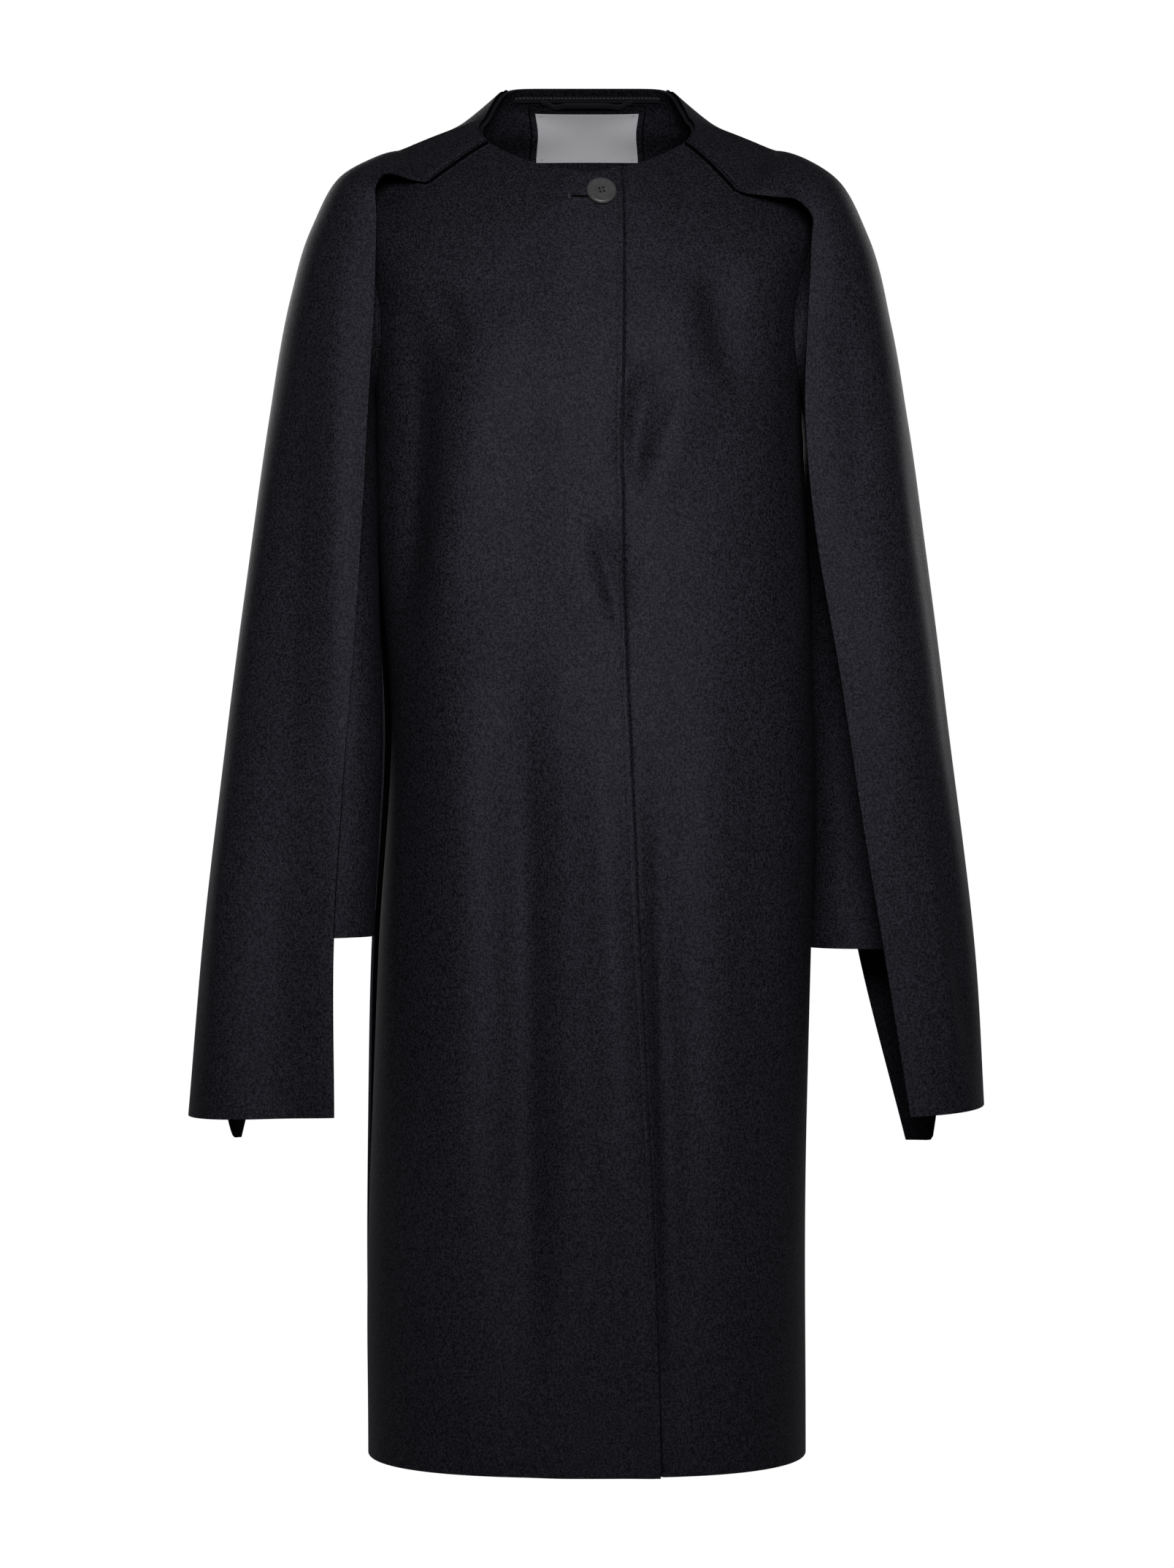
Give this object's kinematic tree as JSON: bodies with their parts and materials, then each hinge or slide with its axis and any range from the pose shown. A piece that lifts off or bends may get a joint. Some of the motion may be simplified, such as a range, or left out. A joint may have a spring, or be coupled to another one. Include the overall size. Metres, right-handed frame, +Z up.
{
  "type": "scarf coat",
  "caption": "Long collarless coat in pressed wool, worn open-hollow, with a button at the neck, hemmed sleeves and a free-hanging scarf panel lapped over each shoulder.",
  "frame": {"origin": "between the wearer's shoulders, at the height of the base of the neck, on the coat's middle plane", "axes": "+X to the wearer's left, -Y to the front, +Z up"},
  "size_m": [0.6482, 0.2681, 1.128],
  "materials": {
    "wool": "pressed matte wool",
    "button": "satin",
    "tape": "satin tape",
    "label": "plain woven"
  },
  "bodies": {
    "root": {"front_right": "wool", "front_left": "wool", "back": "wool", "sleeve_right": "wool", "sleeve_left": "wool", "scarf_right": "wool", "scarf_left": "wool", "button": "button", "neck_tape": "tape", "hanger_loop": "tape", "neck_patch": "wool", "label": "label"}
  },
  "joints": []
}
